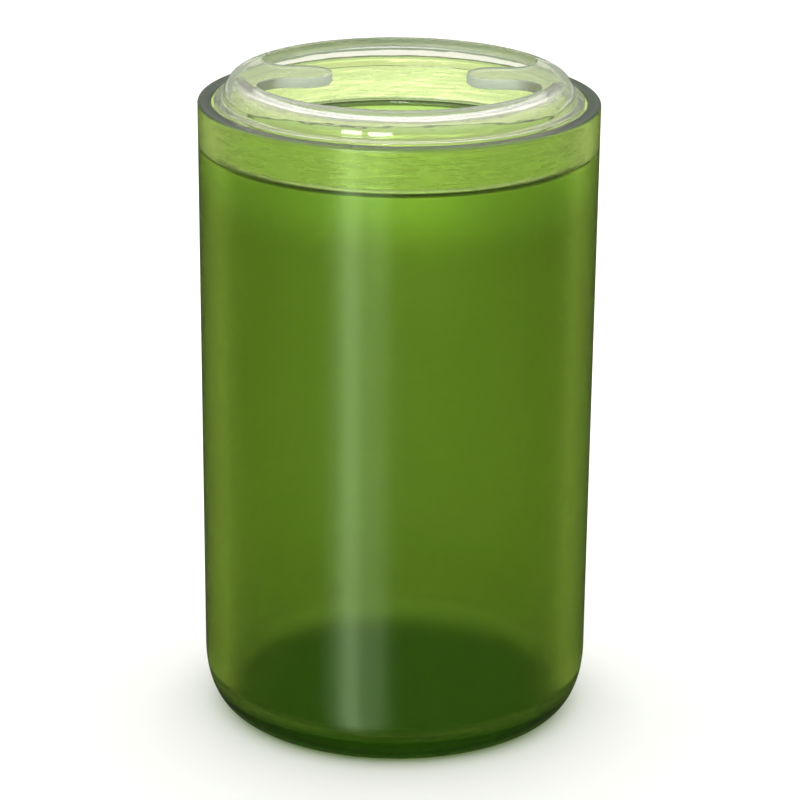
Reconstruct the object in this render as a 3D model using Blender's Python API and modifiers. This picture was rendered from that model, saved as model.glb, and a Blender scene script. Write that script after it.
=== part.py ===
"""A green tumbler jar with a clear drop-in lid, in metres, +Z up.

The origin is the middle of the foot, on the surface that the jar stands on. The lid's two tongues
lie along X, and a viewer at the front looks along +Y.
"""

import math

import bmesh
import bpy

# Jar, outside
JAR_HEIGHT = 0.112
RIM_RADIUS = 0.035
DRAFT = math.radians(0.23)  # how far the wall leans in towards the foot
RIM_ROUND = 0.0006  # both edges of the rim
CORNER_HEIGHT = 0.011  # the round corner between the wall and the foot
CORNER_WIDTH = 0.0058
CORNER_FULLNESS = 2.17  # 2 is an ellipse, and more is squarer

# Jar, inside
BAND_WALL = 0.00245  # the thin wall above the ledge
JAR_WALL = 0.0041  # the thick wall below it
LEDGE_DEPTH = 0.0083  # from the rim down to the ledge
LEDGE_ROUND = 0.0004
FLOOR_THICKNESS = 0.004
FLOOR_ROUND = 0.003  # where the wall meets the floor

# Jar, foot
FOOT_RING_WIDTH = 0.0038  # the flat ring that the jar stands on
FOOT_RECESS = 0.001  # how far the middle of the foot is raised
FOOT_RECESS_SLOPE = 0.001

# Lid
LID_SIDE_GAP = 0.0003  # between the skirt and the band
LID_SEAT_GAP = 0.0003  # between the skirt and the ledge
LID_WALL = 0.0016
SKIRT_ROUND = 0.0005  # both edges of the skirt's foot
STEP_RISE = 0.0003  # the narrow step stands this far above the rim
STEP_WIDTH = 0.0016
DOME_RISE = 0.00425  # from the step up to the flat top
DOME_WIDTH = 0.0036
LIP_WIDTH = 0.0004  # flat top between the dome and the opening
PLATE_THICKNESS = 0.0018

# Lid, the two tongues that stand into its round opening
TONGUE_WIDTH = 0.010
TONGUE_LENGTH = 0.015  # from the opening's edge to the tip
TONGUE_FILLET = 0.005
CUTTER_REACH = 0.001  # the opening's cutter runs this far past the plate on both sides

# Facets
TURN_STEPS = 72
SMALL_ROUND_STEPS = 3
FLOOR_ROUND_STEPS = 4
CORNER_STEPS = 9
DOME_STEPS = 7
TIP_STEPS = 7
FILLET_STEPS = 7
OPENING_STEPS = 14

# Materials: colour, roughness, transmission
JAR_GREEN = (0.16, 0.36, 0.03, 1.0)
LID_CLEAR = (0.93, 0.93, 0.88, 1.0)

# What follows from these
LEDGE_HEIGHT = JAR_HEIGHT - LEDGE_DEPTH
LID_SEAT = LEDGE_HEIGHT + LID_SEAT_GAP


def clear_scene():
    for obj in list(bpy.data.objects):
        bpy.data.objects.remove(obj, do_unlink=True)


def new_collection(name):
    collection = bpy.data.collections.new(name)
    bpy.context.scene.collection.children.link(collection)
    return collection


def make_material(name, colour, roughness, transmission):
    material = bpy.data.materials.new(name)
    material.use_nodes = True
    shader = material.node_tree.nodes["Principled BSDF"]
    shader.inputs["Base Color"].default_value = colour
    shader.inputs["Roughness"].default_value = roughness
    shader.inputs["Transmission Weight"].default_value = transmission
    shader.inputs["IOR"].default_value = 1.5
    return material


def arc(centre, radii, start, end, steps, fullness=2.0):
    """Points along part of an ellipse, from one angle in degrees to another."""
    points = []
    for step in range(steps + 1):
        angle = math.radians(start + (end - start) * step / steps)
        across = math.copysign(abs(math.cos(angle)) ** (2 / fullness), math.cos(angle))
        along = math.copysign(abs(math.sin(angle)) ** (2 / fullness), math.sin(angle))
        points.append((centre[0] + radii[0] * across, centre[1] + radii[1] * along))
    return points


def small_round(centre, radius, start, end):
    return arc(centre, (radius, radius), start, end, SMALL_ROUND_STEPS)


def turned(name, profile, collection):
    """A body turned round Z from a profile of (radius, height) points that ends on the axis."""
    mesh = bpy.data.meshes.new(name)
    edges = [(index, index + 1) for index in range(len(profile) - 1)]
    mesh.from_pydata([(radius, 0, height) for radius, height in profile], edges, [])
    body = bpy.data.objects.new(name, mesh)
    collection.objects.link(body)
    turn = body.modifiers.new("Turn", "SCREW")
    turn.angle = math.tau
    turn.steps = TURN_STEPS
    turn.render_steps = TURN_STEPS
    turn.use_merge_vertices = True
    turn.merge_threshold = 0.00001
    turn.use_smooth_shade = True
    return body


def outer_radius(height):
    """The jar's outside radius on its straight wall."""
    return RIM_RADIUS - (JAR_HEIGHT - height) * math.tan(DRAFT)


def jar_profile():
    floor_edge = outer_radius(FLOOR_THICKNESS) - JAR_WALL - FLOOR_ROUND
    ledge_edge = outer_radius(LEDGE_HEIGHT) - JAR_WALL
    ledge_back = outer_radius(LEDGE_HEIGHT) - BAND_WALL
    rim_edge = RIM_RADIUS - BAND_WALL
    foot_edge = outer_radius(CORNER_HEIGHT) - CORNER_WIDTH
    recess_edge = foot_edge - FOOT_RING_WIDTH
    rim_low = JAR_HEIGHT - RIM_ROUND
    points = [(0, FLOOR_THICKNESS)]
    floor_round = (floor_edge, FLOOR_THICKNESS + FLOOR_ROUND)
    points += arc(floor_round, (FLOOR_ROUND, FLOOR_ROUND), -90, 0, FLOOR_ROUND_STEPS)
    points += small_round((ledge_edge + LEDGE_ROUND, LEDGE_HEIGHT - LEDGE_ROUND), LEDGE_ROUND, 180, 90)
    points.append((ledge_back, LEDGE_HEIGHT))
    points += small_round((rim_edge + RIM_ROUND, rim_low), RIM_ROUND, 180, 90)
    points += small_round((RIM_RADIUS - RIM_ROUND, rim_low), RIM_ROUND, 90, 0)
    corner = (CORNER_WIDTH, CORNER_HEIGHT)
    points += arc((foot_edge, CORNER_HEIGHT), corner, 0, -90, CORNER_STEPS, CORNER_FULLNESS)
    points.append((recess_edge, 0))
    points.append((recess_edge - FOOT_RECESS_SLOPE, FOOT_RECESS))
    points.append((0, FOOT_RECESS))
    return points


def skirt_radius():
    return outer_radius(LEDGE_HEIGHT) - BAND_WALL - LID_SIDE_GAP


def opening_radius():
    return skirt_radius() - STEP_WIDTH - DOME_WIDTH - LIP_WIDTH


def lid_top():
    """The height of the lid's flat top above the foot of its skirt."""
    return LEDGE_DEPTH - LID_SEAT_GAP + STEP_RISE + DOME_RISE


def lid_profile():
    """The lid with its opening still closed, from the foot of its skirt up."""
    skirt = skirt_radius()
    skirt_inside = skirt - LID_WALL
    step = lid_top() - DOME_RISE
    dome_foot = skirt - STEP_WIDTH
    dome_edge = dome_foot - DOME_WIDTH
    throat = dome_foot - LID_WALL
    under_plate = lid_top() - PLATE_THICKNESS
    inner_dome = (throat - dome_edge, under_plate - step)
    points = [(0, lid_top())]
    points += arc((dome_edge, step), (DOME_WIDTH, DOME_RISE), 90, 0, DOME_STEPS)
    points.append((skirt, step))
    points += small_round((skirt - SKIRT_ROUND, SKIRT_ROUND), SKIRT_ROUND, 0, -90)
    points += small_round((skirt_inside + SKIRT_ROUND, SKIRT_ROUND), SKIRT_ROUND, -90, -180)
    points.append((skirt_inside, step - LID_WALL))
    points.append((throat, step - LID_WALL))
    points += arc((dome_edge, step), inner_dome, 0, 90, DOME_STEPS)
    points.append((0, under_plate))
    return points


def mirrored(points, across, along):
    """The points in one quarter of the opening, in reverse where the mirror turns them round."""
    flipped = [(x * across, y * along) for x, y in points]
    return flipped if across * along > 0 else flipped[::-1]


def opening_outline():
    """The opening seen from above: a circle less the two round-ended tongues along X."""
    opening = opening_radius()
    half_width = TONGUE_WIDTH / 2
    tip_centre = opening - TONGUE_LENGTH + half_width
    fillet_side = half_width + TONGUE_FILLET
    fillet_centre = math.sqrt((opening - TONGUE_FILLET) ** 2 - fillet_side**2)
    fillet_end = math.degrees(math.atan2(fillet_side, fillet_centre))
    tip = (half_width, half_width)
    fillet = (TONGUE_FILLET, TONGUE_FILLET)
    circle = (opening, opening)
    quarter = arc((tip_centre, 0), tip, 180, 90, TIP_STEPS)
    quarter += arc((fillet_centre, fillet_side), fillet, -90, fillet_end, FILLET_STEPS)
    quarter += arc((0, 0), circle, fillet_end, 90, OPENING_STEPS)[1:]
    outline = quarter
    outline += mirrored(quarter, -1, 1)[1:]
    outline += mirrored(quarter, -1, -1)[1:]
    outline += mirrored(quarter, 1, -1)[1:-1]
    return outline


def flat_cutter(name, outline, bottom, top, collection):
    """A mesh cutter: a closed outline in XY between two heights."""
    curve = bpy.data.curves.new(name, "CURVE")
    curve.dimensions = "2D"
    curve.fill_mode = "BOTH"
    curve.extrude = (top - bottom) / 2
    spline = curve.splines.new("POLY")
    spline.points.add(len(outline) - 1)
    for point, (x, y) in zip(spline.points, outline):
        point.co = (x, y, 0, 1)
    spline.use_cyclic_u = True
    guide = bpy.data.objects.new(name + "_outline", curve)
    collection.objects.link(guide)
    graph = bpy.context.evaluated_depsgraph_get()
    mesh = bpy.data.meshes.new_from_object(guide.evaluated_get(graph))
    bpy.data.objects.remove(guide, do_unlink=True)
    welded = bmesh.new()
    welded.from_mesh(mesh)
    bmesh.ops.remove_doubles(welded, verts=welded.verts, dist=0.00001)
    bmesh.ops.recalc_face_normals(welded, faces=welded.faces)
    welded.to_mesh(mesh)
    welded.free()
    cutter = bpy.data.objects.new(name, mesh)
    cutter.location.z = (top + bottom) / 2
    cutter.display_type = "WIRE"
    cutter.hide_render = True
    collection.objects.link(cutter)
    return cutter


def even_shading(body):
    """Keeps the flat faces flat beside the rounded ones."""
    normals = body.modifiers.new("Even shading", "WEIGHTED_NORMAL")
    normals.keep_sharp = True


def make_jar(collection):
    jar = turned("jar_body", jar_profile(), collection)
    jar.data.materials.append(make_material("green_plastic", JAR_GREEN, 0.22, 0.6))
    even_shading(jar)
    return jar


def make_lid(collection, cutters):
    """The lid stands with the foot of its skirt just clear of the ledge, and lifts along Z."""
    lid = turned("lid", lid_profile(), collection)
    lid.location.z = LID_SEAT
    lid.data.materials.append(make_material("clear_plastic", LID_CLEAR, 0.05, 0.9))
    bottom = lid_top() - PLATE_THICKNESS - CUTTER_REACH
    top = lid_top() + CUTTER_REACH
    cutter = flat_cutter("lid_opening", opening_outline(), bottom, top, cutters)
    cutter.parent = lid
    cut = lid.modifiers.new("Opening", "BOOLEAN")
    cut.operation = "DIFFERENCE"
    cut.object = cutter
    even_shading(lid)
    return lid


def main():
    clear_scene()
    parts = new_collection("tumbler_jar")
    cutters = new_collection("cutters")
    make_jar(parts)
    make_lid(parts, cutters)


main()
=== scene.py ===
"""The finished look of a green tumbler jar with a clear drop-in lid.

The file is laid out as a Blender add-on and is run as a script. It works in metres, in the frame of
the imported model: the origin is the middle of the foot, +Z is up and the front faces -Y.
"""

import math

import bmesh
import bpy
from bpy.props import FloatProperty, FloatVectorProperty, IntProperty, PointerProperty
from mathutils import Matrix, Vector


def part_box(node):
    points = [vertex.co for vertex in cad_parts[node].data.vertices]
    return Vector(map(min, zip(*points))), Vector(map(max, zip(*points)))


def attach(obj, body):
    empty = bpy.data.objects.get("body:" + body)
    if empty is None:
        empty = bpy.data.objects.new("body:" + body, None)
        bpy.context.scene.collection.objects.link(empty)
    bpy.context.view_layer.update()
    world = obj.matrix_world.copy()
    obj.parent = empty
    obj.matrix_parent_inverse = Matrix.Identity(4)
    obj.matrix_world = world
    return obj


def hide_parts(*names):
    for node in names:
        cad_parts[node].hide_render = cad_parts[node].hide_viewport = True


bl_info = {
    "name": "Tumbler Jar",
    "version": (1, 0, 0),
    "blender": (4, 5, 0),
    "location": "3D View > Sidebar > Jar",
    "description": "A translucent tumbler jar with a clear lid, in a plain studio",
    "category": "Add Mesh",
}

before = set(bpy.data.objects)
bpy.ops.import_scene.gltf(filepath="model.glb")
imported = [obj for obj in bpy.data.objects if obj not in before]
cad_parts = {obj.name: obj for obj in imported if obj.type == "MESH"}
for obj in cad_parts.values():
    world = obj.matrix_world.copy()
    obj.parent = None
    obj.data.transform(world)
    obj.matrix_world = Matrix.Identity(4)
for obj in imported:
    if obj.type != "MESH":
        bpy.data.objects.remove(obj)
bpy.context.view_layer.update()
JAR_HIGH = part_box("jar_body")[1]
LID_LOW, LID_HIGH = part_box("lid")

# Points in each curve of a section or an outline
ROUND_STEPS = 6
FLOOR_ROUND_STEPS = 14
CORNER_STEPS = 32
DOME_STEPS = 28
INNER_DOME_STEPS = 24
TIP_STEPS = 28
FILLET_STEPS = 32
OPENING_STEPS = 56
EDGE_STEPS = 5

# Spacing of the meshes, in metres
SUPPORT_REACH = 0.00008  # from the end of a long run to the point that keeps its shading true
EDGE_REACH = 0.00006  # the same beside the rounded edges of the lid's opening
LONG_RUN = 0.004  # the longest gap between two points of a section
LID_RUN = 0.0006  # the same on the lid, short enough for its nub
WELD_DISTANCE = 0.000002

INNER_DOME_START = 10  # degrees, where the dome's inside leaves the throat

# Where the jar's tints and its painted light and shade meet, in metres
COLLAR_LIGHT_FADE = (0.012, 0.001)  # below the ledge
BAND_FADE = 0.0005  # below the ledge
RIM_FADE = (0.0007, 0.0002)  # below the top of the rim
FLOOR_SIDE_FADE = (-0.002, 0.002)  # out from the floor's edge
FLOOR_TOP_FADE = (-0.001, 0.002)  # above the floor's round
LEDGE_SIDE_FADE = 0.0003  # out from the back of the ledge
LEDGE_LOW_FADE = (-0.0009, -0.0006)  # above the ledge
LEDGE_TOP_FADE = (0.0001, 0.0003)  # above the ledge
CORNER_SIDE_FADE = (0.0235, 0.0255)  # out from the middle
CORNER_TOP_FADE = (0.0025, 0.0055)  # above the foot

# Where the lid's finishes and its painted shade meet, in metres
SKIRT_TOP_FADE = (0.0022, 0.0008)  # below the rim
SKIRT_SIDE_FADE = (0.0009, 0.0003)  # in from the skirt's outer side
DOME_FADE = (-0.0008, 0.0012)  # out from the dome's inner edge
FRONT_FADE = 0.012  # in front of the middle and behind it

# Grain of the plastics: repeats a metre along X, Y and Z, and depths in metres
CLOUD_REPEATS = (60, 60, 25)
CLOUD_CHANGE = (0.92, 1.08)  # how far the clouds change the roughness
FLOW_REPEATS = (28, 28, 7)
FLOW_STRENGTH = 0.12
FLOW_DEPTH = 0.0004
FLOOR_REPEATS = (40, 40, 40)
FLOOR_ROUGHNESS = (0.6, 0.7)
NOISE_SPREAD = (0.3, 0.7)  # most of a noise's values lie between these

# Streaks of the lid: waves round it, and repeats a metre across its section
RIPPLE = (4.2, 1500.0)
WAVE = (3.0, 350.0)
RIPPLE_SPREAD = (0.4, 0.6)  # the frost follows the ripple between these values
FROST_SPREAD = 3  # the strongest frost over the faintest
INNER_RIPPLE = 0.3  # share of the ripple on the skirt's inner side
BACK_RIPPLE = 0.4  # share of the ripple at the back
PLATE_WAVE = 0.04  # share of the wave on the flat top
DOME_WAVE = 0.4  # share of the wave on the dome
STREAK_DEPTH = 0.0003  # metres

JAR_IOR = 1.52
LID_IOR = 1.5
WHITE = (1.0, 1.0, 1.0)

# Sky, by the height of the direction: 0 is level and 1 is straight up
GROUND_COLOUR = (0.06, 0.05, 0.04, 1.0)
LOW_SKY_COLOUR = (0.42, 0.50, 0.40, 1.0)
HIGH_SKY_COLOUR = (1.70, 1.69, 1.65, 1.0)
HORIZON_FADE = (-0.14, -0.03)
HIGH_SKY_FADE = (0.18, 0.6)

# Lights: azimuths in degrees, powers in watts, the rest in metres
PANEL_TARGET = (0.0, 0.0, 0.06)
WINDOWS = (  # azimuth, distance, watts a metre of width, widths of the panels in the stack
    (26, 0.9, 2.2, (0.07, 0.12, 0.17, 0.22, 0.28, 0.5)),
    (10, 1.0, 1.2, (0.08, 0.14, 0.20, 0.26)),
)
WINDOW_MIDDLE = -0.25  # height of its middle, low enough for stripes down to the foot
WINDOW_HEIGHT = 0.9
WINDOW_GAP = 0.01  # between two panels of a stack, so that both show in reflections
WINDOW_COLOUR = (0.75, 1.0, 0.55)
HIGH_PANES = ((12, 0.25), (30, 0.20))  # azimuth, width
HIGH_PANE_DISTANCE = 0.9
HIGH_PANE_MIDDLE = 0.26  # height of its middle
HIGH_PANE_HEIGHT = 0.22
HIGH_PANE_POWER = 8.0  # watts a metre of width
HIGH_PANE_COLOUR = (0.95, 0.97, 1.0)
POOLS = ((0.22, 0.5, 0.36, 0.05), (0.365, 0.25, 0.03, 0.04))  # distance back, height, length, power
POOL_WIDTH = 0.03
POOL_SPREAD = 24  # degrees

FLOOR_DROP = 0.0001  # the floor lies this far below the foot
CLIP = (0.01, 20.0)
BOUNCES = 24
GLOSSY_BOUNCES = 12


def length(name, description, default):
    return FloatProperty(
        name=name, description=description, default=default, min=0.0, precision=5, unit="LENGTH"
    )


def angle(name, description, degrees):
    return FloatProperty(
        name=name, description=description, default=math.radians(degrees), unit="ROTATION"
    )


def factor(name, description, default):
    return FloatProperty(
        name=name, description=description, default=default, min=0.0, max=1.0, subtype="FACTOR"
    )


def count(name, description, default):
    return IntProperty(name=name, description=description, default=default, min=3)


def colour(name, description, default):
    return FloatVectorProperty(
        name=name,
        description=description,
        default=default,
        size=3,
        min=0.0,
        max=1.0,
        subtype="COLOR",
    )


def place(name, description, default):
    return FloatVectorProperty(
        name=name, description=description, default=default, size=3, subtype="XYZ", unit="LENGTH"
    )


class JarSettings(bpy.types.PropertyGroup):
    """Sizes, finish and painted light and shade of the tumbler."""

    height: length("Height", "From the foot to the rim", JAR_HIGH.z)
    rim_radius: length("Rim radius", "Outside radius at the rim", JAR_HIGH.x)
    draft: angle("Draft", "How far the wall leans in towards the foot", 0.23)
    rim_round: length("Rim round", "Radius of both edges of the rim", 0.0006)
    corner_height: length("Corner height", "Height of the round bottom corner", 0.011)
    corner_width: length("Corner width", "Width of the round bottom corner", 0.0058)
    corner_fullness: FloatProperty(
        name="Corner fullness", description="2 is an ellipse and more is squarer", default=2.17, min=1.0
    )
    band_wall: length("Band wall", "Wall above the ledge", 0.00245)
    wall: length("Wall", "Wall below the ledge", 0.0041)
    ledge_depth: length("Ledge depth", "From the rim down to the ledge", 0.0083)
    ledge_round: length("Ledge round", "Radius of the ledge's edge", 0.0004)
    ledge_fillet: length("Ledge fillet", "Where the ledge meets the band", 0.0003)
    floor_thickness: length("Floor", "Height of the floor over the foot", 0.004)
    floor_round: length("Floor round", "Radius where the wall meets the floor", 0.003)
    foot_ring: length("Foot ring", "Width of the flat ring that it stands on", 0.0038)
    recess: length("Recess", "How far the middle of the foot is raised", 0.001)
    recess_slope: length("Recess slope", "Width of the recess's sloping edge", 0.001)
    steps: count("Steps", "Facets round the jar", 288)
    density: FloatProperty(
        name="Dye density", description="Strength of the dye in the plastic, per metre", default=200.0
    )
    dye: colour("Dye", "What a thick piece of the plastic lets through", (0.70, 0.80, 0.20))
    # Partly the plastic's own green and partly painted shade: darkened below the ledge where the shaded
    # floor shows through the thick wall
    wall_tint_and_painted_shade: colour("Wall tint", "Surface tint of the thick wall", (0.334, 0.43, 0.164))
    # Painted light: a lighter collar just below the ledge
    collar_painted_light: colour("Collar tint", "Surface tint just below the ledge", (0.45, 0.62, 0.26))
    # Partly the plastic's own green where the wall is thin and partly painted light from the glowing
    # skirt behind the band
    band_tint_and_painted_light: colour("Band tint", "Surface tint above the ledge", (0.74, 0.86, 0.50))
    # Painted shade: the dark line at the ledge's edge
    ledge_painted_shade: colour("Ledge tint", "Surface tint of the ledge and its edge", (0.02, 0.035, 0.01))
    # Painted reflection: the rim's top darkened to the grey-green of the dull surroundings that it
    # reflects
    rim_painted_reflection: colour("Rim tint", "Surface tint of the rim's top", (0.30, 0.42, 0.26))
    # Painted light: the floor's middle lightened where the ground under the jar lies in shade
    floor_painted_light: colour("Floor tint", "Surface tint of the floor's middle", (0.80, 1.0, 0.60))
    # Painted light: the bottom corner lightened for the light that comes in through it
    corner_painted_light: colour("Corner tint", "Surface tint of the bottom corner", (0.75, 0.95, 0.55))
    satin: factor("Satin", "Roughness outside", 0.22)
    polish: factor("Polish", "Roughness of the wall inside", 0.04)
    floor_satin: factor("Floor satin", "Roughness of the floor inside", 0.6)
    foot_satin: factor("Foot satin", "Roughness of the foot's underside", 1.0)


class LidSettings(bpy.types.PropertyGroup):
    """Sizes, finish and painted shade of the lid."""

    top: length("Top", "Height of the flat top", LID_HIGH.z)
    seat: length("Seat", "Height of the skirt's foot", LID_LOW.z)
    radius: length("Radius", "Outside radius of the skirt", LID_HIGH.x)
    wall: length("Wall", "Thickness of the skirt and dome", 0.0016)
    plate: length("Plate", "Thickness of the flat top and tongues", 0.0018)
    skirt_round: length("Skirt round", "Radius of the skirt's foot", 0.0005)
    step_width: length("Step width", "Flat step beside the rim", 0.0016)
    step_round: length("Step round", "Radius of the step's outer edge", 0.0003)
    step_fillet: length("Step fillet", "Where the dome meets the step", 0.0004)
    dome_rise: length("Dome rise", "From the step up to the flat top", 0.00425)
    dome_width: length("Dome width", "Width of the dome's curve", 0.0036)
    lip_width: length("Lip width", "Flat top between dome and opening", 0.0004)
    edge_round: length("Edge round", "Radius of the opening's edges", 0.00022)
    tongue_width: length("Tongue width", "Width of each tongue", 0.010)
    tongue_length: length("Tongue length", "From the opening's edge to the tip", 0.015)
    tongue_fillet: length("Tongue fillet", "Where a tongue joins the ring", 0.005)
    nub_width: length("Nub width", "Width of the small oval nub", 0.0042)
    nub_height: length("Nub height", "Height of the small oval nub", 0.0011)
    nub_depth: length("Nub depth", "From the rim down to the nub's middle", 0.0012)
    nub_proud: length("Nub proud", "How far the nub stands out", 0.0002)
    steps: count("Steps", "Facets round the lid", 384)
    density: FloatProperty(
        name="Tint density", description="Strength of the lid's warm tint, per metre", default=120.0
    )
    tint: colour("Tint", "What a thick piece of the lid lets through", (0.975, 0.97, 0.88))
    # Painted shade: the lid above the rim dimmed to a cream tone
    top_painted_shade: colour("Top tint", "Surface tint above the rim", (0.90, 0.89, 0.82))
    cut_tint: colour("Cut tint", "Surface tint of the faces round the opening", (0.92, 1.0, 1.0))
    clarity: factor("Clarity", "Share of clear plastic, where the rest is milky", 0.93)
    polish: factor("Polish", "Roughness of the lid", 0.02)
    frost: factor("Frost", "Roughness of the skirt's outer side", 0.3)
    cut_frost: factor("Cut frost", "Roughness of the faces round the opening", 0.6)


class StageSettings(bpy.types.PropertyGroup):
    """The camera, the lights and the floor."""

    aim: place("Aim", "The point that the camera looks at", (0.00058, 0.0, 0.05656))
    orbit: length("Orbit height", "Height of the point that the camera stands off from", 0.056)
    distance: length("Distance", "From the camera to that point", 0.58464)
    elevation: angle("Elevation", "Camera angle above the horizon", 19.17)
    roll: angle("Roll", "Camera turn about its own axis", 0.516)
    lens: FloatProperty(
        name="Lens", description="Focal length, in millimetres", default=146.9, unit="CAMERA"
    )
    floor_colour: colour("Floor", "Colour of the floor", (0.93, 0.93, 0.925))
    floor_size: length("Floor size", "Width of the floor", 6.0)
    sky: FloatProperty(
        name="Sky", description="Strength of the light from all round", default=0.9, min=0.0
    )


# Meshes


def arc(centre, radii, start, end, steps, fullness=2.0):
    """Points along part of an ellipse, from one angle in degrees to another."""
    points = []
    for step in range(steps + 1):
        turn = math.radians(start + (end - start) * step / steps)
        across = math.copysign(abs(math.cos(turn)) ** (2 / fullness), math.cos(turn))
        along = math.copysign(abs(math.sin(turn)) ** (2 / fullness), math.sin(turn))
        points.append((centre[0] + radii[0] * across, centre[1] + radii[1] * along))
    return points


def quarter(centre, radius, start, end, steps=ROUND_STEPS):
    """Points along part of a circle."""
    return arc(centre, (radius, radius), start, end, steps)


def supported(points, reach=SUPPORT_REACH, longest=LONG_RUN):
    """Adds points near both ends of each long run, so that smooth shading stays true there."""
    result = [points[0]]
    for first, second in zip(points, points[1:]):
        run = math.dist(first, second)
        shares = []
        if run > 4 * reach:
            pieces = max(1, round((run - 2 * reach) / longest))
            inner = 1 - 2 * reach / run
            shares = [reach / run + inner * piece / pieces for piece in range(pieces + 1)]
        for share in shares:
            result.append(tuple(a + (b - a) * share for a, b in zip(first, second)))
        result.append(second)
    return result


def jar_profile(size):
    """The jar's section as (radius, height) points, up the inside and down the outside.

    The second list holds the roughness at each point.
    """
    lean = math.tan(size.draft)

    def outer(height):
        return size.rim_radius - (size.height - height) * lean

    ledge = size.height - size.ledge_depth
    floor_edge = outer(size.floor_thickness) - size.wall - size.floor_round
    floor_high = size.floor_thickness + size.floor_round
    ledge_edge = outer(ledge) - size.wall
    ledge_back = outer(ledge) - size.band_wall
    rim_edge = size.rim_radius - size.band_wall
    rim_low = size.height - size.rim_round
    foot_edge = outer(size.corner_height) - size.corner_width
    recess_edge = foot_edge - size.foot_ring
    fillet = size.ledge_fillet

    inside = [(0.0, size.floor_thickness)]
    inside += quarter((floor_edge, floor_high), size.floor_round, -90, 0, FLOOR_ROUND_STEPS)
    ledge_centre = (ledge_edge + size.ledge_round, ledge - size.ledge_round)
    inside += quarter(ledge_centre, size.ledge_round, 180, 90)
    inside += quarter((ledge_back - fillet, ledge + fillet), fillet, -90, 0)
    inside += quarter((rim_edge + size.rim_round, rim_low), size.rim_round, 180, 90)

    corner = (size.corner_width, size.corner_height)
    outside = quarter((size.rim_radius - size.rim_round, rim_low), size.rim_round, 90, 0)
    foot_centre = (foot_edge, size.corner_height)
    outside += arc(foot_centre, corner, 0, -90, CORNER_STEPS, size.corner_fullness)
    outside.append((recess_edge, 0.0))
    outside.append((recess_edge - size.recess_slope, size.recess))
    outside.append((0.0, size.recess))

    inside = supported(inside)
    outside = supported(outside)
    rough = [size.floor_satin if height < floor_high else size.polish for radius, height in inside]
    for radius, height in outside:
        under = height <= size.recess and radius < foot_edge
        rough.append(size.foot_satin if under else size.satin)
    return inside + outside, rough


def add_node(tree, kind, inputs=(), **settings):
    """A new node with its settings, and with its inputs set or linked by name or number."""
    node = tree.nodes.new(kind)
    for name, value in settings.items():
        setattr(node, name, value)
    for name, value in dict(inputs).items():
        if isinstance(value, bpy.types.NodeSocket):
            tree.links.new(value, node.inputs[name])
        else:
            node.inputs[name].default_value = value
    return node


def turned_tree():
    """Geometry nodes that turn a profile of points round Z into one closed, smooth wall."""
    tree = bpy.data.node_groups.new("Turned wall", "GeometryNodeTree")
    tree.interface.new_socket("Profile", in_out="INPUT", socket_type="NodeSocketGeometry")
    tree.interface.new_socket("Steps", in_out="INPUT", socket_type="NodeSocketInt")
    tree.interface.new_socket("Weld Distance", in_out="INPUT", socket_type="NodeSocketFloat")
    tree.interface.new_socket("Material", in_out="INPUT", socket_type="NodeSocketMaterial")
    tree.interface.new_socket("Wall", in_out="OUTPUT", socket_type="NodeSocketGeometry")
    given = tree.nodes.new("NodeGroupInput").outputs
    result = tree.nodes.new("NodeGroupOutput")

    size = add_node(tree, "GeometryNodeAttributeDomainSize", {"Geometry": given["Profile"]})
    columns = add_node(tree, "FunctionNodeIntegerMath", {0: given["Steps"], 1: 1}, operation="ADD")
    grid = add_node(
        tree,
        "GeometryNodeMeshGrid",
        {"Vertices X": size.outputs["Point Count"], "Vertices Y": columns.outputs[0]},
    )
    index = tree.nodes.new("GeometryNodeInputIndex").outputs[0]
    row = add_node(
        tree, "FunctionNodeIntegerMath", {0: index, 1: columns.outputs[0]}, operation="DIVIDE"
    )
    column = add_node(
        tree, "FunctionNodeIntegerMath", {0: index, 1: columns.outputs[0]}, operation="MODULO"
    )
    place_of = tree.nodes.new("GeometryNodeInputPosition").outputs[0]
    point = add_node(
        tree,
        "GeometryNodeSampleIndex",
        {"Geometry": given["Profile"], "Value": place_of, "Index": row.outputs[0]},
        data_type="FLOAT_VECTOR",
    )
    part = add_node(tree, "ShaderNodeMath", {0: column.outputs[0], 1: given["Steps"]}, operation="DIVIDE")
    turn = add_node(tree, "ShaderNodeMath", {0: part.outputs[0], 1: math.tau}, operation="MULTIPLY")
    turned = add_node(
        tree,
        "ShaderNodeVectorRotate",
        {"Vector": point.outputs[0], "Angle": turn.outputs[0]},
        rotation_type="Z_AXIS",
    )
    wall = add_node(
        tree, "GeometryNodeSetPosition", {"Geometry": grid.outputs["Mesh"], "Position": turned.outputs[0]}
    )
    satin = add_node(tree, "GeometryNodeInputNamedAttribute", {"Name": "satin"}, data_type="FLOAT")
    finish = add_node(
        tree,
        "GeometryNodeSampleIndex",
        {"Geometry": given["Profile"], "Value": satin.outputs[0], "Index": row.outputs[0]},
        data_type="FLOAT",
    )
    marked = add_node(
        tree,
        "GeometryNodeStoreNamedAttribute",
        {"Geometry": wall.outputs[0], "Name": "satin", "Value": finish.outputs[0]},
        data_type="FLOAT",
    )
    welded = add_node(
        tree,
        "GeometryNodeMergeByDistance",
        {"Geometry": marked.outputs[0], "Distance": given["Weld Distance"]},
    )
    smooth = add_node(tree, "GeometryNodeSetShadeSmooth", {"Geometry": welded.outputs[0]})
    real = add_node(tree, "GeometryNodeRealizeInstances", {"Geometry": smooth.outputs[0]})
    done = add_node(
        tree, "GeometryNodeSetMaterial", {"Geometry": real.outputs[0], "Material": given["Material"]}
    )
    tree.links.new(done.outputs[0], result.inputs[0])
    return tree


def show(name, mesh):
    """An object for a mesh, in the scene."""
    piece = bpy.data.objects.new(name, mesh)
    bpy.context.scene.collection.objects.link(piece)
    return piece


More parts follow.
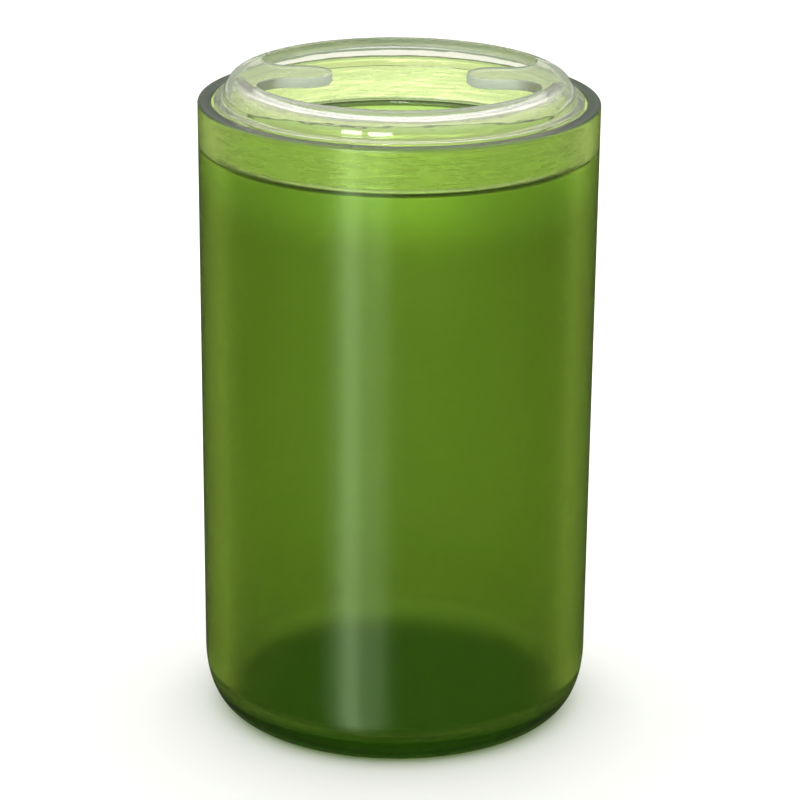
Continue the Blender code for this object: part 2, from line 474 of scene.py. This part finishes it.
def turned_wall(name, profile, satin, steps, material):
    """Runs the turning nodes on a profile and keeps their result as a plain mesh."""
    edges = [(index, index + 1) for index in range(len(profile) - 1)]
    line = bpy.data.meshes.new(name + "_profile")
    line.from_pydata([(radius, 0.0, height) for radius, height in profile], edges, [])
    line.attributes.new("satin", "FLOAT", "POINT").data.foreach_set("value", satin)
    piece = show(name, line)
    nodes = piece.modifiers.new("Turned wall", "NODES")
    nodes.node_group = turned_tree()
    values = {"Steps": steps, "Weld Distance": WELD_DISTANCE, "Material": material}
    for item in nodes.node_group.interface.items_tree:
        if item.name in values:
            nodes[item.identifier] = values[item.name]
    graph = bpy.context.evaluated_depsgraph_get()
    mesh = bpy.data.meshes.new_from_object(piece.evaluated_get(graph))
    piece.modifiers.remove(nodes)
    piece.data = mesh
    mesh.name = name
    return piece


def opening_outline(size, inset):
    """The lid's opening seen from above, grown by inset: a circle less the two tongues along X."""
    opening = size.radius - size.step_width - size.dome_width - size.lip_width
    half_width = size.tongue_width / 2
    tip_centre = opening - size.tongue_length + half_width
    fillet_side = half_width + size.tongue_fillet
    fillet_centre = math.sqrt((opening - size.tongue_fillet) ** 2 - fillet_side**2)
    fillet_end = math.degrees(math.atan2(fillet_side, fillet_centre))
    fillet = size.tongue_fillet + inset
    part = quarter((tip_centre, 0.0), half_width - inset, 180, 90, TIP_STEPS)
    part += quarter((fillet_centre, fillet_side), fillet, -90, fillet_end, FILLET_STEPS)
    part += quarter((0.0, 0.0), opening + inset, fillet_end, 90, OPENING_STEPS)[1:]
    outline = list(part)
    outline += [(-x, y) for x, y in reversed(part)][1:]
    outline += [(-x, -y) for x, y in part][1:]
    outline += [(x, -y) for x, y in reversed(part)][1:-1]
    return outline


def lid_profile(size):
    """The lid's section from the flat top, out over the dome, down the skirt and back up inside."""
    step = size.top - size.dome_rise
    dome_foot = size.radius - size.step_width
    dome_edge = dome_foot - size.dome_width
    skirt_inside = size.radius - size.wall
    throat = dome_foot - size.wall
    under_step = step - size.wall
    under_plate = size.top - size.plate
    inner_dome = (throat - dome_edge, under_plate - step)
    low = size.skirt_round
    fillet = size.step_fillet
    dome_start = math.degrees(math.asin(fillet / size.dome_rise))
    dome = arc((dome_edge, step), (size.dome_width, size.dome_rise), 90, dome_start, DOME_STEPS)
    points = [(dome_edge - SUPPORT_REACH, size.top)] + dome
    points += quarter((dome[-1][0] + fillet, step + fillet), fillet, 180, 270)[1:]
    step_centre = (size.radius - size.step_round, step - size.step_round)
    points += quarter(step_centre, size.step_round, 90, 0)
    points += quarter((size.radius - low, size.seat + low), low, 0, -90)
    points += quarter((skirt_inside + low, size.seat + low), low, -90, -180)
    points += quarter((skirt_inside - fillet, under_step - fillet), fillet, 0, 90)
    points += quarter((throat + fillet, under_step + fillet), fillet, -90, -180)
    points += arc((dome_edge, step), inner_dome, INNER_DOME_START, 90, INNER_DOME_STEPS)
    points.append((dome_edge - SUPPORT_REACH, under_plate))
    return supported(points, longest=LID_RUN)


def ring(mesh, points, height, cut=0.0):
    """A loop of vertices, marked with how much of the finish round the opening it has."""
    layer = mesh.verts.layers.float["cut"]
    loop = [mesh.verts.new((x, y, height)) for x, y in points]
    for vertex in loop:
        vertex[layer] = cut
    return loop


def circle(radius, steps):
    """Points round a circle in XY."""
    turns = [math.tau * step / steps for step in range(steps)]
    return [(radius * math.cos(turn), radius * math.sin(turn)) for turn in turns]


def skin(mesh, loops):
    """Faces between each loop of vertices and the next."""
    for first, second in zip(loops, loops[1:]):
        for index in range(len(first)):
            after = (index + 1) % len(first)
            mesh.faces.new((first[index], first[after], second[after], second[index]))


def fill_between(mesh, *loops):
    """A flat face of triangles between two closed loops, one inside the other."""
    edges = []
    for loop in loops:
        edges += [mesh.edges.get((loop[index - 1], loop[index])) for index in range(len(loop))]
    bmesh.ops.triangle_fill(mesh, edges=edges, use_beauty=True)


def raise_nub(mesh, size):
    """Lifts a small oval out of the back of the skirt."""
    middle = JAR_HIGH.z - size.nub_depth
    for vertex in mesh.verts:
        across = vertex.co.x / (size.nub_width / 2)
        along = (vertex.co.z - middle) / (size.nub_height / 2)
        inside = 1 - across**2 - along**2
        if inside > 0 and vertex.co.y > size.radius - size.wall / 2:
            vertex.co.y += size.nub_proud * math.sqrt(inside)


def lid_mesh(size):
    """The whole lid: its turned section, the walls of its opening and the flat faces between."""
    mesh = bmesh.new()
    mesh.verts.layers.float.new("cut")
    turned = [ring(mesh, circle(radius, size.steps), height) for radius, height in lid_profile(size)]
    skin(mesh, turned)
    edge = size.edge_round
    bottom = size.top - size.plate
    inner = [(edge + EDGE_REACH, size.top)]
    inner += quarter((edge, size.top - edge), edge, 90, 180, EDGE_STEPS)
    inner += quarter((edge, bottom + edge), edge, 180, 270, EDGE_STEPS)
    inner.append((edge + EDGE_REACH, bottom))
    # The opening's walls take the frosted finish, and its rounded edges stay polished.
    cut = [
        ring(mesh, opening_outline(size, inset), height, 1.0 if inset < edge / 2 else 0.0)
        for inset, height in supported(inner, reach=EDGE_REACH)
    ]
    skin(mesh, cut)
    fill_between(mesh, turned[0], cut[0])
    fill_between(mesh, turned[-1], cut[-1])
    raise_nub(mesh, size)
    bmesh.ops.recalc_face_normals(mesh, faces=mesh.faces)
    data = bpy.data.meshes.new("lid_clear")
    mesh.to_mesh(data)
    mesh.free()
    data.shade_smooth()
    return data


# Materials


def new_material(name):
    """A material with an empty tree, its Principled shader and its output."""
    material = bpy.data.materials.new(name)
    material.use_nodes = True
    tree = material.node_tree
    tree.nodes.clear()
    shader = tree.nodes.new("ShaderNodeBsdfPrincipled")
    output = tree.nodes.new("ShaderNodeOutputMaterial")
    tree.links.new(shader.outputs[0], output.inputs["Surface"])
    return material, tree, shader, output


def object_places(tree, scale):
    """Object coordinates, stretched by scale."""
    places = tree.nodes.new("ShaderNodeTexCoord").outputs["Object"]
    return add_node(tree, "ShaderNodeMapping", {"Vector": places, "Scale": scale}).outputs[0]


def object_axes(tree):
    """Object coordinates: their axes, their part across Z, and the distance from Z."""
    places = tree.nodes.new("ShaderNodeTexCoord").outputs["Object"]
    axes = add_node(tree, "ShaderNodeSeparateXYZ", {0: places}).outputs
    flat = add_node(tree, "ShaderNodeCombineXYZ", {"X": axes["X"], "Y": axes["Y"]}).outputs[0]
    radius = add_node(tree, "ShaderNodeVectorMath", {0: flat}, operation="LENGTH").outputs["Value"]
    return axes, flat, radius


def noise(tree, places, detail=2.0):
    """Noise that repeats about once for each unit of places."""
    return add_node(
        tree, "ShaderNodeTexNoise", {"Vector": places, "Scale": 1.0, "Detail": detail}
    ).outputs["Fac"]


def ramp(tree, value, low, high, to_low, to_high):
    """A smooth change from to_low to to_high while a value goes from low to high."""
    return add_node(
        tree,
        "ShaderNodeMapRange",
        {"Value": value, "From Min": low, "From Max": high, "To Min": to_low, "To Max": to_high},
        interpolation_type="SMOOTHSTEP",
    ).outputs["Result"]


def rising(tree, value, low, high):
    return ramp(tree, value, low, high, 0.0, 1.0)


def falling(tree, value, low, high):
    return ramp(tree, value, low, high, 1.0, 0.0)


def blend(tree, share, first, second):
    """A colour between two others."""
    node = tree.nodes.new("ShaderNodeMix")
    node.data_type = "RGBA"
    for socket, value in ((node.inputs[0], share), (node.inputs[6], first), (node.inputs[7], second)):
        if isinstance(value, bpy.types.NodeSocket):
            tree.links.new(value, socket)
        else:
            socket.default_value = value
    return node.outputs[2]


def maths(tree, operation, first, second):
    return add_node(tree, "ShaderNodeMath", {0: first, 1: second}, operation=operation).outputs[0]


def both(tree, *shares):
    """Where all the shares meet: their product."""
    result = shares[0]
    for share in shares[1:]:
        result = maths(tree, "MULTIPLY", result, share)
    return result


def own_attribute(tree, name):
    return add_node(tree, "ShaderNodeAttribute", attribute_name=name).outputs["Fac"]


def dyed(tree, output, tint, density):
    """Colour that deepens with the thickness of the plastic."""
    volume = add_node(tree, "ShaderNodeVolumeAbsorption", {"Color": (*tint, 1.0), "Density": density})
    tree.links.new(volume.outputs[0], output.inputs["Volume"])


def jar_tint_light_and_shade(tree, size):
    """The jar's surface tint, with painted light and shade up the wall and over the floor, ledge and
    corner.
    """
    axes, _, radius = object_axes(tree)
    height = axes["Z"]
    ledge = size.height - size.ledge_depth
    ledge_back = size.rim_radius - size.band_wall
    floor_edge = size.rim_radius - size.wall - size.floor_round
    floor_high = size.floor_thickness + size.floor_round
    # The thick wall's tint: the plastic's green with painted shade
    tint = (*size.wall_tint_and_painted_shade, 1.0)
    # Painted light on the collar below the ledge and on the band above it, and a painted reflection that
    # darkens the rim's top
    for low, high, shade in (
        (ledge - COLLAR_LIGHT_FADE[0], ledge - COLLAR_LIGHT_FADE[1], size.collar_painted_light),
        (ledge - BAND_FADE, ledge, size.band_tint_and_painted_light),
        (size.height - RIM_FADE[0], size.height - RIM_FADE[1], size.rim_painted_reflection),
    ):
        tint = blend(tree, rising(tree, height, low, high), tint, (*shade, 1.0))
    floor = both(
        tree,
        falling(tree, radius, *(floor_edge + fade for fade in FLOOR_SIDE_FADE)),
        falling(tree, height, *(floor_high + fade for fade in FLOOR_TOP_FADE)),
    )
    ledge_shade_line = both(
        tree,
        falling(tree, radius, ledge_back, ledge_back + LEDGE_SIDE_FADE),
        rising(tree, height, *(ledge + fade for fade in LEDGE_LOW_FADE)),
        falling(tree, height, *(ledge + fade for fade in LEDGE_TOP_FADE)),
    )
    corner = both(
        tree,
        rising(tree, radius, *CORNER_SIDE_FADE),
        falling(tree, height, *CORNER_TOP_FADE),
    )
    # A painted dark line of shade at the ledge's edge, and painted light on the floor's middle and the
    # bottom corner
    for share, shade in (
        (floor, size.floor_painted_light),
        (ledge_shade_line, size.ledge_painted_shade),
        (corner, size.corner_painted_light),
    ):
        tint = blend(tree, share, tint, (*shade, 1.0))
    return tint


def green_plastic(size):
    """Dyed plastic with painted light and shade in its tint: satin outside with faint flow marks,
    polished inside and rougher below.
    """
    material, tree, shader, output = new_material("green_plastic")
    shader.inputs["Transmission Weight"].default_value = 1.0
    shader.inputs["IOR"].default_value = JAR_IOR
    tree.links.new(jar_tint_light_and_shade(tree, size), shader.inputs["Base Color"])
    cloud = noise(tree, object_places(tree, CLOUD_REPEATS), detail=3.0)
    cloud = ramp(tree, cloud, *NOISE_SPREAD, *CLOUD_CHANGE)
    rough = maths(tree, "MULTIPLY", own_attribute(tree, "satin"), cloud)
    tree.links.new(rough, shader.inputs["Roughness"])
    flow = noise(tree, object_places(tree, FLOW_REPEATS))
    bump = add_node(
        tree, "ShaderNodeBump", {"Height": flow, "Strength": FLOW_STRENGTH, "Distance": FLOW_DEPTH}
    )
    tree.links.new(bump.outputs[0], shader.inputs["Normal"])
    dyed(tree, output, size.dye, size.density)
    return material


def streaks(tree, outward, along, waves, repeats):
    """Noise drawn out round the lid: slow round it, and fine across its section."""
    across = add_node(tree, "ShaderNodeCombineXYZ", {"Z": maths(tree, "MULTIPLY", along, repeats)})
    places = add_node(
        tree,
        "ShaderNodeVectorMath",
        {0: outward, 1: (waves, waves, 0.0), 2: across.outputs[0]},
        operation="MULTIPLY_ADD",
    )
    return noise(tree, places.outputs[0])


def clear_plastic(size):
    """Clear moulded plastic: rippled on the skirt, wavy on the dome, satin round the opening and dimmed
    above the rim with painted shade.
    """
    material, tree, shader, output = new_material("clear_plastic")
    shader.inputs["Transmission Weight"].default_value = size.clarity
    shader.inputs["IOR"].default_value = LID_IOR
    axes, flat, radius = object_axes(tree)
    outward = add_node(tree, "ShaderNodeVectorMath", {0: flat}, operation="NORMALIZE").outputs[0]
    along = maths(tree, "SUBTRACT", radius, axes["Z"])
    ripple = streaks(tree, outward, along, *RIPPLE)
    wave = streaks(tree, outward, along, *WAVE)
    cut = own_attribute(tree, "cut")

    low = falling(tree, axes["Z"], *(JAR_HIGH.z - fade for fade in SKIRT_TOP_FADE))
    outer_side = rising(tree, radius, *(size.radius - fade for fade in SKIRT_SIDE_FADE))
    skirt = both(tree, outer_side, low)
    inner_side = both(tree, maths(tree, "SUBTRACT", 1.0, outer_side), low)

    # Painted shade: above the rim the lid is dimmed to cream, while the opening's faces and the skirt
    # keep a clear tint
    tint = blend(tree, cut, (*size.top_painted_shade, 1.0), (*size.cut_tint, 1.0))
    tint = blend(tree, low, tint, (*WHITE, 1.0))
    tree.links.new(tint, shader.inputs["Base Color"])

    frost = ramp(tree, ripple, *RIPPLE_SPREAD, size.frost / FROST_SPREAD, size.frost)
    rough = ramp(tree, cut, 0.0, 1.0, size.polish, size.cut_frost)
    rough = maths(tree, "MAXIMUM", rough, both(tree, skirt, frost))
    tree.links.new(rough, shader.inputs["Roughness"])

    sides = maths(tree, "ADD", skirt, both(tree, inner_side, INNER_RIPPLE))
    front = ramp(tree, axes["Y"], -FRONT_FADE, FRONT_FADE, 1.0, BACK_RIPPLE)
    dome_edge = size.radius - size.step_width - size.dome_width
    dome = ramp(tree, radius, *(dome_edge + fade for fade in DOME_FADE), PLATE_WAVE, DOME_WAVE)
    relief = maths(tree, "ADD", both(tree, ripple, sides, front), both(tree, wave, dome))
    bump = add_node(tree, "ShaderNodeBump", {"Height": relief, "Strength": 1.0, "Distance": STREAK_DEPTH})
    tree.links.new(bump.outputs[0], shader.inputs["Normal"])
    dyed(tree, output, size.tint, size.density)
    return material


def pale_floor(tint):
    """A plain pale surface, very slightly uneven in its roughness."""
    material, tree, shader, output = new_material("pale_floor")
    shader.inputs["Base Color"].default_value = (*tint, 1.0)
    grain = noise(tree, object_places(tree, FLOOR_REPEATS), detail=4.0)
    rough = ramp(tree, grain, *NOISE_SPREAD, *FLOOR_ROUGHNESS)
    tree.links.new(rough, shader.inputs["Roughness"])
    return material


# Stage


def add_camera(size):
    """The camera stands in front of the jar and looks slightly down at it."""
    data = bpy.data.cameras.new("camera")
    camera = bpy.data.objects.new("camera", data)
    bpy.context.scene.collection.objects.link(camera)
    data.lens = size.lens
    data.clip_start, data.clip_end = CLIP
    back = Vector((0.0, -math.cos(size.elevation), math.sin(size.elevation)))
    camera.location = Vector((0.0, 0.0, size.orbit)) + back * size.distance
    look = (Vector(size.aim) - camera.location).to_track_quat("-Z", "Y").to_matrix().to_4x4()
    turn = look @ Matrix.Rotation(size.roll, 4, "Z")
    camera.rotation_euler = turn.to_euler()
    bpy.context.scene.camera = camera


def add_panel(name, centre, target, width, height, power, tint):
    """A soft light panel facing a target, which shows in reflections and not to the camera."""
    data = bpy.data.lights.new(name, "AREA")
    data.shape = "RECTANGLE"
    data.size = width
    data.size_y = height
    data.energy = power
    data.color = tint
    panel = bpy.data.objects.new(name, data)
    bpy.context.scene.collection.objects.link(panel)
    panel.location = centre
    panel.rotation_euler = (Vector(target) - Vector(centre)).to_track_quat("-Z", "Y").to_euler()
    panel.visible_camera = False
    panel.visible_diffuse = False
    return panel


def around(azimuth, distance, height):
    """A place seen from the jar: azimuth in degrees, from the front towards the left."""
    turn = math.radians(azimuth)
    return (-distance * math.sin(turn), -distance * math.cos(turn), height)


def add_sky(size):
    """Light from all round: dark below, greenish near the horizon and white overhead."""
    world = bpy.data.worlds.new("even_white")
    bpy.context.scene.world = world
    world.use_nodes = True
    tree = world.node_tree
    background = tree.nodes["Background"]
    direction = tree.nodes.new("ShaderNodeTexCoord").outputs["Generated"]
    height = add_node(tree, "ShaderNodeSeparateXYZ", {0: direction}).outputs["Z"]
    sky = blend(tree, rising(tree, height, *HIGH_SKY_FADE), LOW_SKY_COLOUR, HIGH_SKY_COLOUR)
    sky = blend(tree, rising(tree, height, *HORIZON_FADE), GROUND_COLOUR, sky)
    tree.links.new(sky, background.inputs["Color"])
    background.inputs["Strength"].default_value = size.sky


def add_windows():
    """Tall panes that leave soft-edged stripes on the wall, and high ones that catch the dome."""
    for azimuth, distance, power, widths in WINDOWS:
        for step, width in enumerate(widths):
            centre = around(azimuth, distance + WINDOW_GAP * step, WINDOW_MIDDLE)
            strength = power * width
            add_panel(
                "window_pane", centre, PANEL_TARGET, width, WINDOW_HEIGHT, strength, WINDOW_COLOUR
            )
    for azimuth, width in HIGH_PANES:
        centre = around(azimuth, HIGH_PANE_DISTANCE, HIGH_PANE_MIDDLE)
        power = HIGH_PANE_POWER * width
        add_panel("high_pane", centre, PANEL_TARGET, width, HIGH_PANE_HEIGHT, power, HIGH_PANE_COLOUR)


def add_pools():
    """Narrow lights on the floor behind the jar, which brighten what shows through it."""
    for far, high, long, power in POOLS:
        pool = add_panel("pool", (0.0, far, high), (0.0, far, 0.0), POOL_WIDTH, long, power, WHITE)
        pool.visible_diffuse = True
        pool.data.spread = math.radians(POOL_SPREAD)


def add_floor(size):
    """A wide square that the jar stands on."""
    mesh = bpy.data.meshes.new("floor")
    half = size.floor_size / 2
    signs = ((-1, -1), (1, -1), (1, 1), (-1, 1))
    corners = [(half * across, half * along, -FLOOR_DROP) for across, along in signs]
    mesh.from_pydata(corners, [], [(0, 1, 2, 3)])
    mesh.materials.append(pale_floor(size.floor_colour))
    floor = show("floor", mesh)
    floor.visible_glossy = False


class JAR_OT_tumbler(bpy.types.Operator):
    """Make the green tumbler in place of its plain solid"""

    bl_idname = "jar.tumbler"
    bl_label = "Tumbler"

    def execute(self, context):
        size = context.scene.jar_settings
        profile, satin = jar_profile(size)
        piece = turned_wall("tumbler", profile, satin, size.steps, green_plastic(size))
        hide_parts("jar_body")
        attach(piece, "jar")
        return {"FINISHED"}


class JAR_OT_lid(bpy.types.Operator):
    """Make the clear lid in place of its plain solid"""

    bl_idname = "jar.lid"
    bl_label = "Clear lid"

    def execute(self, context):
        size = context.scene.jar_lid_settings
        piece = show("lid_clear", lid_mesh(size))
        piece.data.materials.append(clear_plastic(size))
        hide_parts("lid")
        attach(piece, "lid")
        return {"FINISHED"}


class JAR_OT_stage(bpy.types.Operator):
    """Set up the camera, the lights and the pale floor"""

    bl_idname = "jar.stage"
    bl_label = "Stage"

    def execute(self, context):
        size = context.scene.jar_stage_settings
        context.scene.view_settings.view_transform = "Standard"
        context.scene.cycles.max_bounces = BOUNCES
        context.scene.cycles.transmission_bounces = BOUNCES
        context.scene.cycles.glossy_bounces = GLOSSY_BOUNCES
        add_camera(size)
        add_sky(size)
        add_windows()
        add_pools()
        add_floor(size)
        return {"FINISHED"}


class JAR_PT_panel(bpy.types.Panel):
    """Sizes, colours and buttons for the jar"""

    bl_idname = "JAR_PT_panel"
    bl_label = "Tumbler Jar"
    bl_space_type = "VIEW_3D"
    bl_region_type = "UI"
    bl_category = "Jar"

    def draw(self, context):
        for operator, name in STEPS:
            self.layout.operator(operator)
            settings = getattr(context.scene, name)
            column = self.layout.column(align=True)
            for key in settings.__annotations__:
                column.prop(settings, key)


STEPS = (
    ("jar.stage", "jar_stage_settings"),
    ("jar.tumbler", "jar_settings"),
    ("jar.lid", "jar_lid_settings"),
)
CLASSES = (
    JarSettings,
    LidSettings,
    StageSettings,
    JAR_OT_tumbler,
    JAR_OT_lid,
    JAR_OT_stage,
    JAR_PT_panel,
)


def register():
    for kind in CLASSES:
        bpy.utils.register_class(kind)
    bpy.types.Scene.jar_settings = PointerProperty(type=JarSettings)
    bpy.types.Scene.jar_lid_settings = PointerProperty(type=LidSettings)
    bpy.types.Scene.jar_stage_settings = PointerProperty(type=StageSettings)


def unregister():
    del bpy.types.Scene.jar_stage_settings
    del bpy.types.Scene.jar_lid_settings
    del bpy.types.Scene.jar_settings
    for kind in reversed(CLASSES):
        bpy.utils.unregister_class(kind)


def main():
    register()
    bpy.ops.jar.stage()
    bpy.ops.jar.tumbler()
    bpy.ops.jar.lid()


if __name__ == "__main__":
    main()
